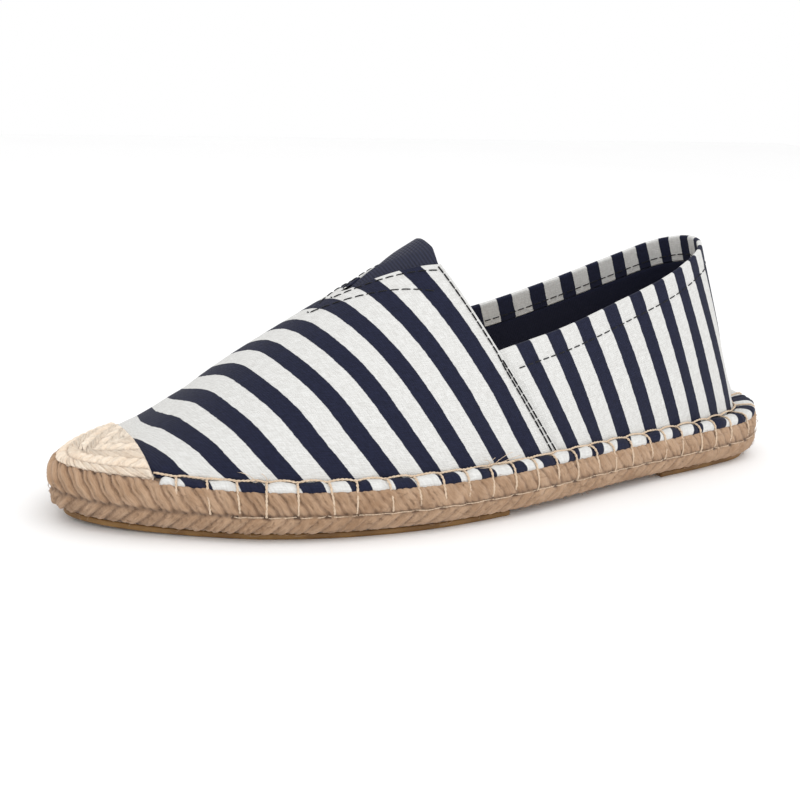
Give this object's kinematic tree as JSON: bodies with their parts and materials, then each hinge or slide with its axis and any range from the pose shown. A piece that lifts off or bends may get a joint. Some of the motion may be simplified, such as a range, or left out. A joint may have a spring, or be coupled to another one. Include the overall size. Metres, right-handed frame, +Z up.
{
  "type": "espadrille",
  "caption": "Flat slip-on espadrille: striped canvas upper with an elastic gore at the throat, braided jute sole and toe guard, rubber outsole pads.",
  "frame": {"origin": "middle of the shoe's footprint, on the floor that the outsole stands on", "axes": "+X from heel to toe, +Y to the wearer's left, which is the outer side of this left shoe, +Z up"},
  "size_m": [0.255, 0.09, 0.0794],
  "materials": {
    "outsole_rubber": "matte gum rubber",
    "jute_braid": "coarse braided jute",
    "insole_canvas": "plain natural canvas",
    "striped_canvas": "white plain-weave canvas printed with navy stripes",
    "gore_elastic": "fine-ribbed navy elastic webbing",
    "jute_guard": "coarse pale jute braid",
    "lining_cotton": "plain navy cotton lining",
    "blanket_thread": "waxed natural cotton thread",
    "black_thread": "fine black sewing thread"
  },
  "bodies": {
    "root": {"outsole_forefoot": "outsole_rubber", "outsole_heel": "outsole_rubber", "midsole": "jute_braid", "insole": "insole_canvas", "upper": "striped_canvas", "gore": "gore_elastic", "toe_guard": "jute_guard"}
  },
  "joints": []
}
